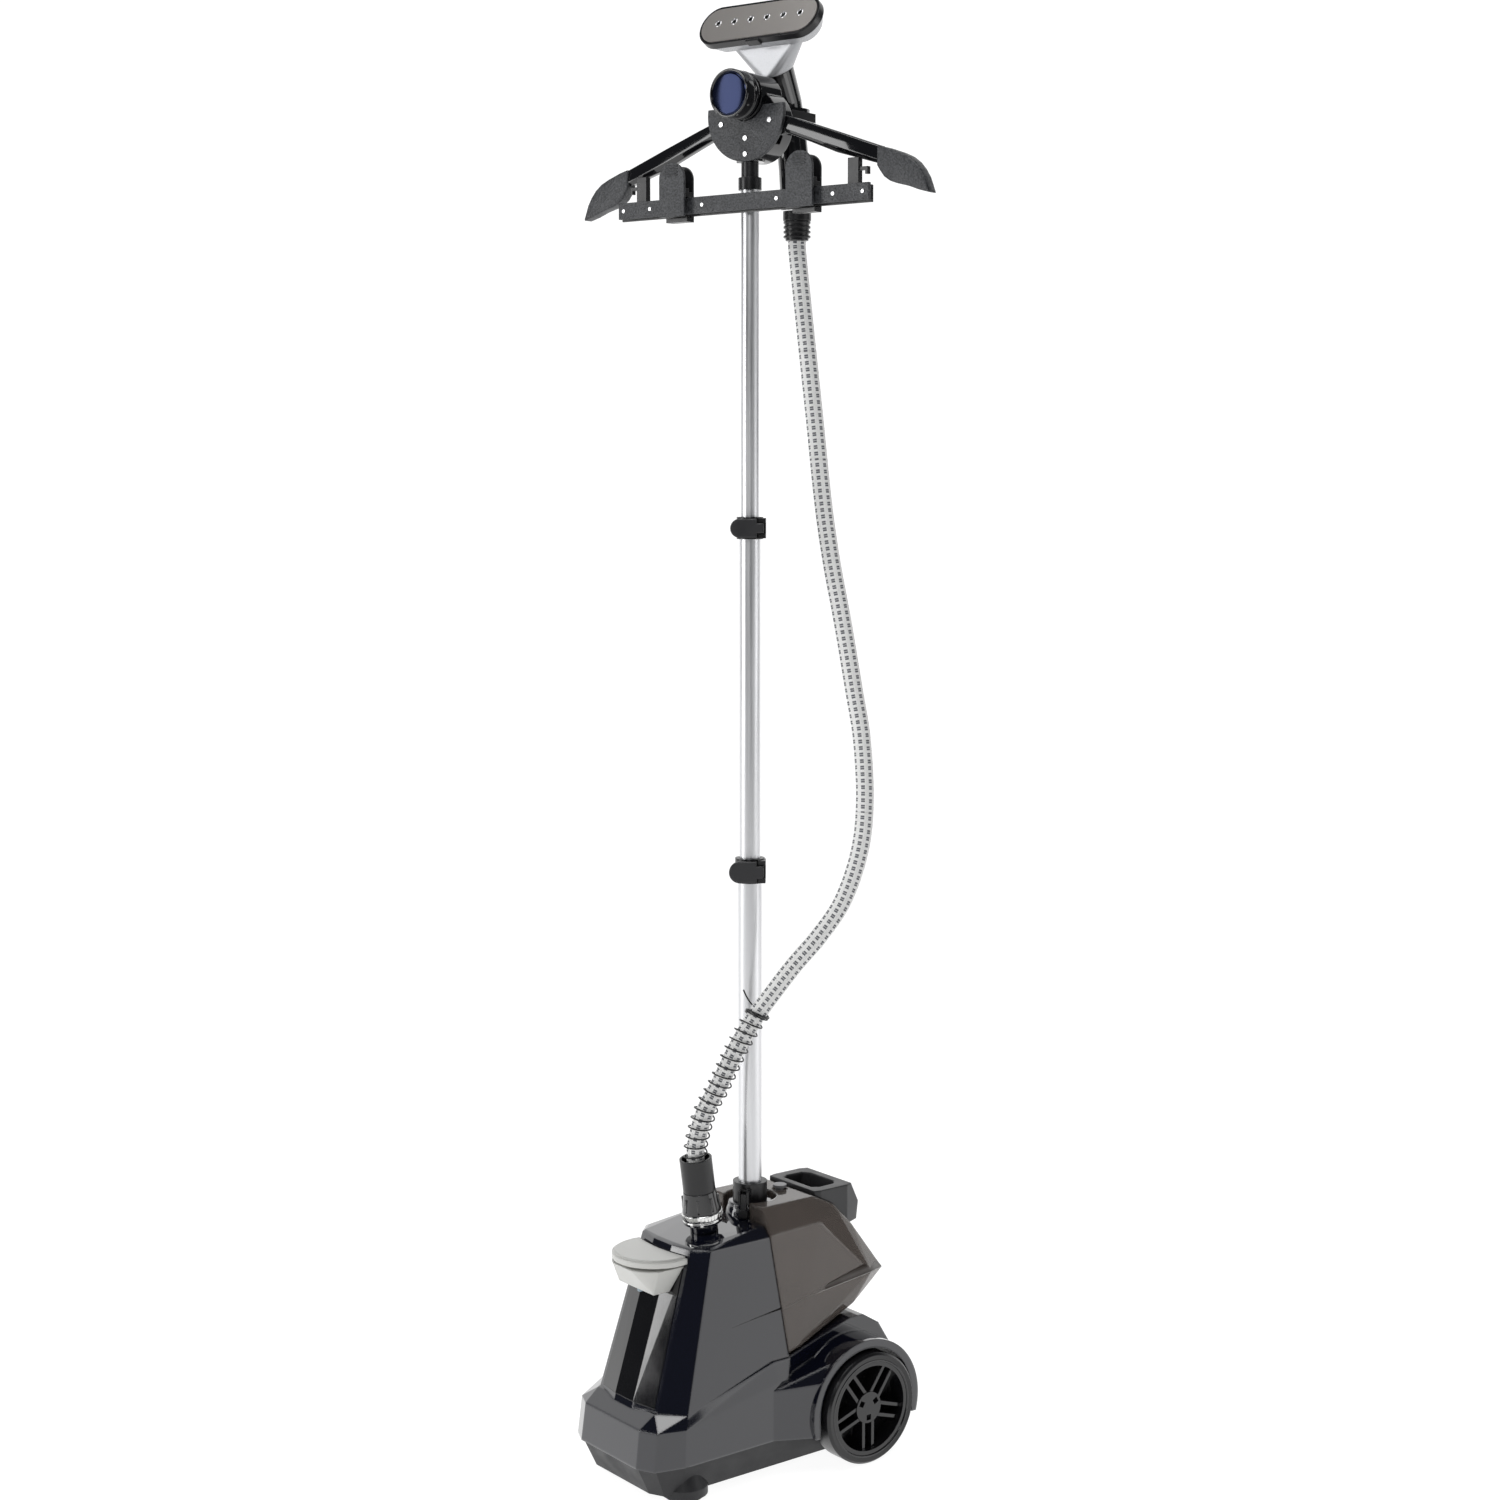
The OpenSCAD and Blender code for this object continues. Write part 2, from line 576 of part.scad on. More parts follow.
module clip_slider() {
    w = clip_w - 5;
    translate([-w / 2, -9.9, 1321]) cube([w, 2.6, 44]);
    translate([0, -7.3, 1365]) rotate([90, 0, 0]) cylinder(d = w, h = 2.6);
    translate([-w / 2, -19, 1321]) cube([w, 10.5, 4.6]);
    translate([-w / 2, -17, 1346.3]) cube([w, 8.5, 5]);
    for (x = [-w / 2, w / 2 - 5]) translate([x, -23.3, 1346.3]) cube([5, 7.3, 9]);
    translate([0, -21.5, 1352.5]) rod_x(1.5, w - 2);
}
module clip_jaw() {
    difference() {
        union() {
            translate([-clip_w / 2, -27.6, 1326]) cube([clip_w, 2.8, 39]);
            translate([0, -24.8, 1365]) rotate([90, 0, 0]) cylinder(d = clip_w, h = 2.8);
            for (z = [1368:3:1377]) translate([-8, -28.4, z]) cube([16, 0.9, 1.2]);
            translate([-8, -25, 1349.5]) cube([16, 5.8, 6]);
        }
        translate([0, -21.5, 1352.5]) rod_x(1.8, 60);
    }
}
module clip_right() at_hanger() color("#1d1e20") translate([clip_x, 0, 0]) clip_slider();
module clip_left() at_hanger() color("#1d1e20") translate([-clip_x, 0, 0]) clip_slider();
module jaw_right() at_hanger() color("#4a4c50") translate([clip_x, 0, 0]) clip_jaw();
module jaw_left() at_hanger() color("#4a4c50") translate([-clip_x, 0, 0]) clip_jaw();
module cradle() at_hanger() color("#1a1a1c") difference() {
    translate([-26, 38, 1420]) cube([52, 42, 14]);
    translate([0, 69, 1410]) cylinder(r = 20.2, h = 40);
    translate([-20.2, 69, 1410]) cube([40.4, 40, 40]);
}

// ---------- handset ----------

module at_plate() { translate(plate_c) rotate([90 - plate_lean, 0, 0]) children(); }
module steam_plate() at_hanger() color("#8f8983") at_plate() difference() {
    translate([0, 0, -2.5]) linear_extrude(2.5) stadium(plate_len, plate_h);
    for (i = [-2.5:1:2.5]) translate([i * 21, 2, -4]) cylinder(d = steam_hole_d, h = 8);
}
module head_rim() at_hanger() color("#1a1a1c") at_plate() difference() {
    union() {
        translate([0, 0, -9]) linear_extrude(8.2) stadium(plate_len + 6, plate_h + 6);
        translate([-9, -plate_h / 2 - 5, -9]) cube([16, 4, 8]);
    }
    translate([0, 0, -2.5]) linear_extrude(5) stadium(plate_len, plate_h);
    translate([0, 0, -12]) linear_extrude(20) stadium(plate_len - 16, plate_h - 16);
}
module head_cup() at_hanger() color("#bfc0c2") difference() {
    union() {
        hull() {
            at_plate() translate([0, 0, -9.8]) linear_extrude(0.8) stadium(plate_len + 4, plate_h + 4);
            at_plate() translate([0, 0, -23]) linear_extrude(0.8) stadium(plate_len - 14, plate_h - 5);
        }
        hull() {
            at_plate() translate([0, 0, -22]) linear_extrude(0.8) stadium(plate_len - 46, plate_h - 8);
            translate(grip[0]) rotate([grip_tilt[0], 0, 0]) translate([0, 0, 0.6]) cylinder(r = 19.5, h = 2, $fn = 32);
        }
    }
    at_plate() translate([0, 0, -18]) linear_extrude(10) stadium(plate_len - 44, plate_h - 16);
}
module grip_piece(i) {
    hull() for (k = [i, i + 1]) translate(grip[k]) rotate([grip_tilt[k], 0, 0])
        cylinder(r = grip_r[k], h = 0.5, $fn = 32);
}
module at_trigger() { translate([0, 54, 1461]) rotate([31, 0, 0]) children(); }
module handle() at_hanger() color("#101013") {
    difference() {
        union() {
            for (i = [0:3]) grip_piece(i);
            translate([0, 66.5, 1434.6]) cylinder(r = 23, h = 4);
        }
        at_trigger() translate([-6.6, -26, -11]) cube([13.2, 13.5, 22.5]);
    }
    at_trigger() translate([0, -16, 7]) rod_x(1.5, 15);
}
module steam_trigger() at_hanger() color("#2c2c30") at_trigger() difference() {
    translate([-5.8, -21.5, -9.5]) cube([11.6, 7.5, 19.5]);
    translate([0, -16, 7]) rod_x(1.8, 30);
}
module hose_gland() at_hanger() color("#161618") translate([0, 83, 0]) {
    translate([0, 0, 1326]) cylinder(r = 15, h = 9.5);
    translate([0, 0, 1305]) cylinder(r1 = 12.2, r2 = 13.5, h = 21.1);
    for (z = [1308:5:1323]) translate([0, 0, z]) cylinder(r = 14.4, h = 2);
}

// ---------- hose ----------

hose_path = smooth(hose_line, 2);
module steam_hose() at_pole() color("#dcdcdc") swept(hose_path, [0, 1, 0], hose_d / 2, 10);
guard_mid = [for (i = [31:len(hose_path) - 3]) hose_path[i]];
function along(p, s) = let (x = s * (len(p) - 1), i = min(floor(x), len(p) - 2)) p[i] + (x - i) * (p[i + 1] - p[i]);
function coil(p, r, turns, per) = [for (k = [0:turns * per]) let (s = k / (turns * per),
    c = along(p, s), t = unit(along(p, min(1, s + 0.05)) - along(p, max(0, s - 0.05))),
    a = unit(cross([0, 1, 0], t)), b = cross(t, a)) c + r * (cos(360 * k / per) * a + sin(360 * k / per) * b)];
module hose_guard() at_pole() color("#151515")
    swept(coil(guard_mid, hose_d / 2 + guard_wire_d / 2 + 0.5, guard_turns, 10),
        [0, 0, 1], guard_wire_d / 2, 6);

module tyre_right() tyre(1);
module tyre_left() tyre(-1);
module rim_right() rim(1);
module rim_left() rim(-1);

base_shell();
base_tray();
foot_pads();
front_panel();
pedal_housing();
pedal_lid();
status_lamp();
hose_inlet();
hose_nut();
hose_sleeve();
hose_cap();
pole_socket();
pole_collar();
collar_lever();
water_tank();
tank_handle();
tank_button();
tank_valve();
tyre_right();
tyre_left();
rim_right();
rim_left();
axle();
boiler();
heater();
steam_pipe();
feed_cup();
drip_screws();
cord_gland();
lower_tube();
middle_tube();
upper_tube();
tube_foot();
clamp_low();
clamp_low_lever();
clamp_high();
clamp_high_lever();
pole_top();
hub_body();
hub_plate();
hanger_screws();
knob();
wing_right();
wing_left();
bar_front();
bar_back();
clip_right();
clip_left();
jaw_right();
jaw_left();
cradle();
steam_plate();
head_rim();
head_cup();
handle();
steam_trigger();
hose_gland();
steam_hose();
hose_guard();
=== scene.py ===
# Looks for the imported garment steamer. Metres, the CAD's frame: +Z up, -Y to the pedal.
import math
import bmesh
import bpy
from mathutils import Matrix, Vector


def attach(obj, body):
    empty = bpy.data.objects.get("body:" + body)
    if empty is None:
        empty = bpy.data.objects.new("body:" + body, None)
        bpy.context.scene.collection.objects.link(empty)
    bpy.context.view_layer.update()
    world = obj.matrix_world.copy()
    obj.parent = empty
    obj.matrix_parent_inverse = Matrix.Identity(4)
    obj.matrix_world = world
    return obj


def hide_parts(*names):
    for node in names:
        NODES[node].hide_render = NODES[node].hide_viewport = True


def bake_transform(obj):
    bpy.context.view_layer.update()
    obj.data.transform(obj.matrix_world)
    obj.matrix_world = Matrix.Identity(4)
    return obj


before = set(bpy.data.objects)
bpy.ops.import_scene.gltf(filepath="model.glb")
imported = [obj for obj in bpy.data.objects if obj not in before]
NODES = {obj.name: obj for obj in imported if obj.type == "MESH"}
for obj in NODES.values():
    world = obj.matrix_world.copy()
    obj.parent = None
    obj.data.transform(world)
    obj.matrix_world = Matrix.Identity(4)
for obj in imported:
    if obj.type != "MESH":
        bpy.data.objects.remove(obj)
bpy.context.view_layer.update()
POLE_Y = 0.015
YAW = math.radians(15)
CAMERA_TURN = math.radians(52)


def mm(x, y, z):
    """A vector given in millimetres, in metres."""
    return Vector((x / 1000, y / 1000, z / 1000))


def pole(x, y, z):
    """A point given in millimetres from the pole's foot, in metres."""
    return Vector((x / 1000, POLE_Y + y / 1000, z / 1000))


# frames that pieces are placed in, and places in them in millimetres and degrees
HANG = Matrix.Translation((0, POLE_Y, 0)) @ Matrix.Rotation(YAW, 4, "Z")
POLE = Matrix.Translation((0, POLE_Y, 0))
CAP_AT, CAP_LEAN = (10, -69, 258), 8
WHEEL_R, WHEEL_OUT, AXLE_Y, AXLE_Z = 60.5, 113, 78, 60.5

# ---------- camera ----------
cam_data = bpy.data.cameras.new("camera")
cam = bpy.data.objects.new("camera", cam_data)
bpy.context.collection.objects.link(cam)
cam_data.sensor_width = 36
cam_data.lens = 58.8
cam.location = (2.0331, -1.5734, 1.053)
cam.rotation_euler = (math.radians(83.7), 0, CAMERA_TURN)
bpy.context.scene.camera = cam


# ---------- materials ----------
class Mat:
    """A principled material whose colour, roughness and normal can be worked on with nodes."""

    def __init__(self, name, color, rough, metal=0.0, **sockets):
        self.material = bpy.data.materials.new(name)
        self.material.use_nodes = True
        self.tree = self.material.node_tree
        self.shader = self.tree.nodes["Principled BSDF"]
        self.shader.inputs["Base Color"].default_value = (*color, 1)
        self.shader.inputs["Roughness"].default_value = rough
        self.shader.inputs["Metallic"].default_value = metal
        for k, v in sockets.items():
            self.shader.inputs[k.replace("_", " ")].default_value = v
        self.coord = self.new("ShaderNodeTexCoord").outputs["Object"]
        self.normal = None

    def new(self, kind, **inputs):
        n = self.tree.nodes.new(kind)
        for k, v in inputs.items():
            n.inputs[k].default_value = v
        return n

    def link(self, a, b):
        self.tree.links.new(a, b)

    def edge(self, radius):
        """Soft edges in the shading, as wide as radius."""
        n = self.new("ShaderNodeBevel", Radius=radius)
        n.samples = 6
        self.normal = n.outputs["Normal"]
        self.link(self.normal, self.shader.inputs["Normal"])
        return self

    def noise(self, scale, detail=3.0, stretch=None):
        n = self.new("ShaderNodeTexNoise", Scale=scale, Detail=detail)
        src = self.coord
        if stretch:
            mp = self.new("ShaderNodeMapping")
            mp.inputs["Scale"].default_value = stretch
            self.link(src, mp.inputs["Vector"])
            src = mp.outputs["Vector"]
        self.link(src, n.inputs["Vector"])
        return n.outputs["Fac"]

    def bump(self, height, distance, strength):
        n = self.new("ShaderNodeBump", Strength=strength, Distance=distance)
        self.link(height, n.inputs["Height"])
        if self.normal:
            self.link(self.normal, n.inputs["Normal"])
        self.normal = n.outputs["Normal"]
        self.link(self.normal, self.shader.inputs["Normal"])
        return self

    def spread(self, fac, low, high):
        """Roughness that wanders between low and high."""
        n = self.new("ShaderNodeMapRange")
        n.inputs["From Min"].default_value = 0.3
        n.inputs["From Max"].default_value = 0.7
        n.inputs["To Min"].default_value = low
        n.inputs["To Max"].default_value = high
        self.link(fac, n.inputs["Value"])
        self.link(n.outputs["Result"], self.shader.inputs["Roughness"])
        return self

    def tint(self, fac, a, b):
        """Colour that wanders between a and b."""
        n = self.new("ShaderNodeValToRGB")
        n.color_ramp.elements[0].position, n.color_ramp.elements[1].position = 0.35, 0.65
        n.color_ramp.elements[0].color = (*a, 1)
        n.color_ramp.elements[1].color = (*b, 1)
        self.link(fac, n.inputs["Fac"])
        self.link(n.outputs["Color"], self.shader.inputs["Base Color"])
        return self


def gloss(name, color, rough, radius, coat=0.0):
    """Polished plastic."""
    m = Mat(name, color, rough, Coat_Weight=coat, Specular_IOR_Level=0.5).edge(radius)
    m.spread(m.noise(26), rough * 0.7, rough * 1.5)
    m.bump(m.noise(160, 2), 0.00004, 0.25)
    return m


def satin(name, color, rough=0.38, radius=0.0008, grain=2200, depth=0.00006):
    """Moulded plastic with a fine grain."""
    m = Mat(name, color, rough).edge(radius)
    m.spread(m.noise(40), rough * 0.85, rough * 1.18)
    m.bump(m.noise(grain, 2), depth, 0.5)
    return m


def metal(name, color, rough, stretch=(1, 1, 0.02)):
    """Metal with drawn streaks, long where stretch is small."""
    m = Mat(name, color, rough, 1.0).edge(0.0005)
    m.spread(m.noise(300, 4, stretch), rough * 0.75, rough * 1.3)
    return m


navy = gloss("navy_gloss", (0.0030, 0.0036, 0.0095), 0.05, 0.004, 1.0)
black = gloss("black_gloss", (0.004, 0.004, 0.005), 0.07, 0.0015, 0.6)
wheel_black = gloss("wheel_gloss", (0.006, 0.006, 0.007), 0.13, 0.0008, 0.3)
black_satin = satin("black_satin", (0.007, 0.007, 0.008), 0.3)
tray_black = satin("tray_matte", (0.014, 0.014, 0.016), 0.5)
tyre_black = satin("tyre_satin", (0.009, 0.009, 0.010), 0.25, 0.0012)
charcoal = satin("charcoal_satin", (0.02, 0.02, 0.022), 0.36, 0.003)
grain = satin("grey_grain", (0.026, 0.0275, 0.031), 0.42, 0.0009, 520, 0.0012)
grain.tint(grain.noise(520, 2), (0.014, 0.015, 0.017), (0.05, 0.052, 0.057))
pale = satin("pale_grey", (0.60, 0.60, 0.575), 0.33, 0.0022)
white_plastic = satin("white_plastic", (0.78, 0.78, 0.77), 0.35)
button_grey = satin("button_grey", (0.26, 0.26, 0.27), 0.3)
rubber = satin("foot_rubber", (0.03, 0.03, 0.03), 0.8)
chrome = metal("chrome_ring", (0.72, 0.72, 0.71), 0.10)
steel = metal("screw_steel", (0.66, 0.66, 0.67), 0.25)
alu = metal("tube_metal", (0.74, 0.745, 0.76), 0.36, (1, 1, 0.015))
boiler_metal = metal("boiler_metal", (0.6, 0.6, 0.6), 0.4)
copper = metal("heater_copper", (0.6, 0.33, 0.2), 0.4)
sole = Mat("sole_metal", (0.74, 0.70, 0.665), 0.36, 1.0).edge(0)
sole.spread(sole.noise(2400, 2, (0.03, 1, 1)), 0.33, 0.39)
pearl = Mat("pearl_grey", (0.42, 0.425, 0.44), 0.3, 0.45).edge(0.003)
pearl.spread(pearl.noise(3000, 2), 0.24, 0.36)
knob_blue = Mat("knob_face", (0.012, 0.017, 0.045), 0.10, 0.85)
knob_blue.spread(knob_blue.noise(60), 0.10, 0.15)
lamp = Mat("lamp_lens", (0.6, 0.75, 0.85), 0.1, Transmission_Weight=0.6)
smoke = Mat("smoky_clear", (0.20, 0.17, 0.152), 0.06, Transmission_Weight=0.55, IOR=1.5).edge(0.004)
smoke.spread(smoke.noise(14), 0.03, 0.07)
# dark band colour for the tank's crease: painted shade of the groove
crease_shade_paint = gloss("tank_crease_painted_shade", (0.022, 0.013, 0.008), 0.35, 0.0008)
# pale band colour under the tank's crease: a painted highlight on the groove's edge
edge_highlight_paint = satin("tank_edge_painted_highlight", (0.30, 0.29, 0.28), 0.2)

LOOK = {
    "base_shell": navy, "base_tray": tray_black, "foot_pads": rubber, "front_panel": black,
    "pedal_housing": pale, "pedal_lid": pale, "status_lamp": lamp, "hose_inlet": navy,
    "hose_nut": chrome, "hose_sleeve": black, "hose_cap": black_satin, "pole_socket": navy,
    "pole_collar": black_satin, "collar_lever": black_satin, "water_tank": smoke,
    "tank_handle": charcoal, "tank_button": button_grey, "tank_valve": white_plastic,
    "tyre_right": tyre_black, "tyre_left": tyre_black, "rim_right": wheel_black,
    "rim_left": wheel_black, "axle": steel, "boiler": boiler_metal, "heater": copper,
    "steam_pipe": steel, "feed_cup": tray_black, "drip_screws": steel, "cord_gland": tray_black,
    "lower_tube": alu, "middle_tube": alu, "upper_tube": alu, "tube_foot": tray_black,
    "clamp_low": black_satin, "clamp_low_lever": charcoal, "clamp_high": black_satin,
    "clamp_high_lever": charcoal, "pole_top": black_satin, "hub_body": black, "hub_plate": grain,
    "hanger_screws": steel, "knob": knob_blue, "wing_right": grain, "wing_left": grain,
    "bar_front": grain, "bar_back": black_satin, "clip_right": black_satin,
    "clip_left": black_satin, "jaw_right": grain, "jaw_left": grain, "cradle": black_satin,
    "steam_plate": sole, "head_rim": black_satin, "head_cup": pearl, "handle": black,
    "steam_trigger": charcoal, "hose_gland": black_satin,
}


for node, look in LOOK.items():
    data = NODES[node].data
    data.materials.clear()
    data.materials.append(look.material)
    for poly in data.polygons:
        poly.material_index = 0


# ---------- mesh helpers ----------
def piece(name, bm, body, look, replaces=(), slot=None):
    """The bmesh as a smooth-shaded object that rides on a body."""
    mesh = bpy.data.meshes.new(name)
    bmesh.ops.recalc_face_normals(bm, faces=bm.faces)
    bm.to_mesh(mesh)
    bm.free()
    mesh.shade_smooth()
    mesh.materials.append(look.material)
    obj = bpy.data.objects.new(name, mesh)
    bpy.context.collection.objects.link(obj)
    if body:
        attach(obj, body)
    if replaces:
        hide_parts(*replaces)
    return obj


def stitch(bm, rings):
    """Faces between each ring and the next, and a cap on both ends."""
    for a, b in zip(rings, rings[1:]):
        for k in range(len(a)):
            j = (k + 1) % len(a)
            bm.faces.new((a[k], a[j], b[j], b[k]))
    bm.faces.new(rings[0])
    bm.faces.new(rings[-1])


def frames_along(path):
    """A centre and two cross directions at each point of a path."""
    out = []
    for i, p in enumerate(path):
        t = (path[min(i + 1, len(path) - 1)] - path[max(i - 1, 0)]).normalized()
        a = Vector((0, 1, 0)).cross(t)
        if a.length < 1e-3:
            a = Vector((1, 0, 0)).cross(t)
        a.normalize()
        out.append((p, a, t.cross(a)))
    return out


def tube(name, path, radius, sides, body, look, **kw):
    """A swept tube with UVs in metres along it and turns around it."""
    bm = bmesh.new()
    uv = bm.loops.layers.uv.new("UVMap")
    rings, dist = [], [0.0]
    for i, (c, a, b) in enumerate(frames_along(path)):
        rings.append([bm.verts.new(c + radius * (math.cos(2 * math.pi * k / sides) * a
                                                 + math.sin(2 * math.pi * k / sides) * b))
                      for k in range(sides)])
        if i:
            dist.append(dist[-1] + (path[i] - path[i - 1]).length)
    for i in range(len(rings) - 1):
        for k in range(sides):
            j = (k + 1) % sides
            f = bm.faces.new((rings[i][k], rings[i][j], rings[i + 1][j], rings[i + 1][k]))
            for loop, (u, v) in zip(f.loops, ((k, i), (k + 1, i), (k + 1, i + 1), (k, i + 1))):
                loop[uv].uv = (u / sides, dist[v])
    bm.faces.new(rings[0])
    bm.faces.new(rings[-1])
    return piece(name, bm, body, look, **kw)


# ---------- hose ----------
HOSE_D = 0.019
# its middle line from the handset down to the base, in millimetres from the pole's foot
HOSE_LINE = [(-21.5, 80, 1304), (-20, 80, 1288), (-6, 79, 1211), (9, 80, 1116), (23, 80, 1031),
             (36, 81, 968), (51, 84, 905), (67, 87, 832), (79, 88, 780), (89, 84, 717),
             (93, 74, 665), (90, 54, 614), (81, 30, 578), (68, 6, 547), (57, -16, 516),
             (49, -34, 490), (40, -50, 459), (29, -64, 421), (20, -75, 394), (12.5, -81, 361),
             (10, -80.5, 340), (10, -76.8, 313.6)]


def spline(points, steps):
    """A smooth curve through the points."""
    out = []
    n = len(points)
    for i in range(n - 1):
        a, b = points[max(i - 1, 0)], points[i]
        c, d = points[i + 1], points[min(i + 2, n - 1)]
        for s in range(steps):
            t = s / steps
            out.append(0.5 * (2 * b + (c - a) * t + (2 * a - 5 * b + 4 * c - d) * t * t
                              + (3 * b - a - 3 * c + d) * t ** 3))
    out.append(points[-1])
    return out


def woven(name):
    """White woven sleeve with short grey double dashes, staggered round the hose."""
    m = Mat(name, (0.80, 0.80, 0.79), 0.75)
    uv = m.new("ShaderNodeUVMap")
    uv.uv_map = "UVMap"
    sep = m.new("ShaderNodeSeparateXYZ")
    m.link(uv.outputs["UV"], sep.inputs["Vector"])

    def op(kind, a, b=None):
        n = m.tree.nodes.new("ShaderNodeMath")
        n.operation = kind
        for i, v in enumerate((a, b)):
            if v is None:
                continue
            if isinstance(v, (int, float)):
                n.inputs[i].default_value = v
            else:
                m.link(v, n.inputs[i])
        return n.outputs[0]

    u, v = sep.outputs["X"], sep.outputs["Y"]
    around, along = op("MULTIPLY", u, 30.0), op("MULTIPLY", v, 520.0)
    weave = op("MULTIPLY", op("SINE", op("MULTIPLY", op("ADD", around, along), math.pi)),
               op("SINE", op("MULTIPLY", op("SUBTRACT", around, along), math.pi)))
    row = op("MULTIPLY", v, 1 / 0.0069)
    lane = op("FLOOR", op("MULTIPLY", u, 7.0))
    shift = op("MULTIPLY", lane, 0.12)
    across = op("ABSOLUTE", op("SUBTRACT", op("FRACT", op("MULTIPLY", u, 7.0)), 0.5))
    run = op("FRACT", op("ADD", row, shift))
    in_run = op("MULTIPLY", op("GREATER_THAN", run, 0.14), op("LESS_THAN", run, 0.40))
    second = op("MULTIPLY", op("GREATER_THAN", run, 0.46), op("LESS_THAN", run, 0.72))
    dash = op("MULTIPLY", op("ADD", in_run, second), op("LESS_THAN", across, 0.24))
    mix = m.new("ShaderNodeMix")
    mix.data_type = "RGBA"
    mix.inputs["A"].default_value = (0.82, 0.82, 0.81, 1)
    mix.inputs["B"].default_value = (0.09, 0.095, 0.11, 1)
    m.link(op("MULTIPLY", dash, 0.95), mix.inputs["Factor"])
    m.link(mix.outputs["Result"], m.shader.inputs["Base Color"])
    m.bump(weave, 0.0003, 0.6)
    return m


sleeve = woven("woven_sleeve")
full = spline([pole(*p) for p in HOSE_LINE], 10)


def cut(path, z_high, z_low):
    """The stretch of the path between two heights, with exact ends."""
    out = []
    for a, b in zip(path, path[1:]):
        for z in (z_high, z_low):
            if a.z >= z > b.z and z != path[-1].z:
                out.append(a.lerp(b, (a.z - z) / (a.z - b.z)))
        if z_high >= b.z >= z_low:
            out.append(b.copy())
    seen = []
    for p in sorted(out, key=lambda q: -q.z):
        if not seen or (p - seen[-1]).length > 1e-5:
            seen.append(p)
    return seen


# heights the hose is cut at, and the bodies each stretch runs between
SPLITS = [1.304, 1.188, 1.074, 0.705, 0.3136]
JOINS = [("handset", "hanger"), ("hanger", "upper"), ("upper", "middle"), ("middle", "base")]
hose = []
for i, (a, b) in enumerate(JOINS):
    path = cut(full, SPLITS[i], SPLITS[i + 1])
    part = tube(f"hose_{i + 1}", path, HOSE_D / 2, 28, None, sleeve)
    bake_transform(part)
    hose.append((part, path))
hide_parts("steam_hose")


def coil(path, radius, turns, per):
    """A helix round the path, with per points to a turn."""
    marks = [0.0]
    for a, b in zip(path, path[1:]):
        marks.append(marks[-1] + (b - a).length)
    out = []
    for k in range(turns * per + 1):
        s = marks[-1] * k / (turns * per)
        i = max(j for j in range(len(marks)) if marks[j] <= s)
        i = min(i, len(path) - 2)
        c = path[i].lerp(path[i + 1], (s - marks[i]) / (marks[i + 1] - marks[i]))
        t = (path[min(i + 4, len(path) - 1)] - path[max(i - 3, 0)]).normalized()
        a = Vector((0, 1, 0)).cross(t).normalized()
        b = t.cross(a)
        w = 2 * math.pi * k / per
        out.append(c + radius * (math.cos(w) * a + math.sin(w) * b))
    return out


# guard wire: a coil with a bent tail, and a thicker turn doubled at its top
GUARD_TOP, GUARD_FOOT = 0.5, 0.342
COIL_R, COIL_TURNS, TURN_POINTS = 0.0121, 17, 26
WIRE_R, RING_R, RING_LIFT = 0.00085, 0.0012, 0.0022
guard_path = cut(full, GUARD_TOP, GUARD_FOOT)
wire = coil(guard_path, COIL_R, COIL_TURNS, TURN_POINTS)
upward = (guard_path[0] - guard_path[4]).normalized()
double = [p + upward * RING_LIFT for p in wire[:TURN_POINTS + 1]]
tail = [wire[0] + Vector((-0.0016 * k, -0.0009 * k, 0.0012 * k + 0.0006 * k * k * 0.4))
        for k in range(6, 0, -1)]
guard = tube("hose_guard_coil", tail + wire, WIRE_R, 8, None, black_satin)
ring_top = tube("hose_guard_ring", double, RING_R, 8, None, black_satin)
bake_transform(ring_top)
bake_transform(guard)
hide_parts("hose_guard")
for i in (3, 2, 1, 0):
    part, path = hose[i]


# ---------- turned and outlined pieces ----------
def lathe(name, profile, place, body, look, steps=96, **kw):
    """profile is (radius, height) pairs in millimetres, turned about the local Z of place."""
    bm = bmesh.new()
    rings = []
    for r, h in profile:
        if r <= 0:
            rings.append([bm.verts.new(place @ mm(0, 0, h))])
            continue
        rings.append([bm.verts.new(place @ mm(r * math.cos(2 * math.pi * k / steps),
                                              r * math.sin(2 * math.pi * k / steps), h))
                      for k in range(steps)])
    for a, b in zip(rings, rings[1:]):
        for k in range(steps):
            j = (k + 1) % steps
            corners = [a[k % len(a)], a[j % len(a)], b[j % len(b)], b[k % len(b)]]
            unique = []
            for v in corners:
                if v not in unique:
                    unique.append(v)
            if len(unique) > 2:
                bm.faces.new(unique)
    return piece(name, bm, body, look, **kw)


def rounded(profile, r=0.8, steps=4):
    """The profile with every corner between its two ends rounded off."""
    out = [profile[0]]
    for a, b, c in zip(profile, profile[1:], profile[2:]):
        va, vc = Vector((a[0] - b[0], a[1] - b[1])), Vector((c[0] - b[0], c[1] - b[1]))
        d = min(r, va.length * 0.45, vc.length * 0.45)
        if d < 0.05:
            out.append(b)
            continue
        p, q = Vector(b) + va.normalized() * d, Vector(b) + vc.normalized() * d
        for k in range(steps + 1):
            t = k / steps
            out.append(tuple((1 - t) ** 2 * p + 2 * t * (1 - t) * Vector(b) + t * t * q))
    out.append(profile[-1])
    return out


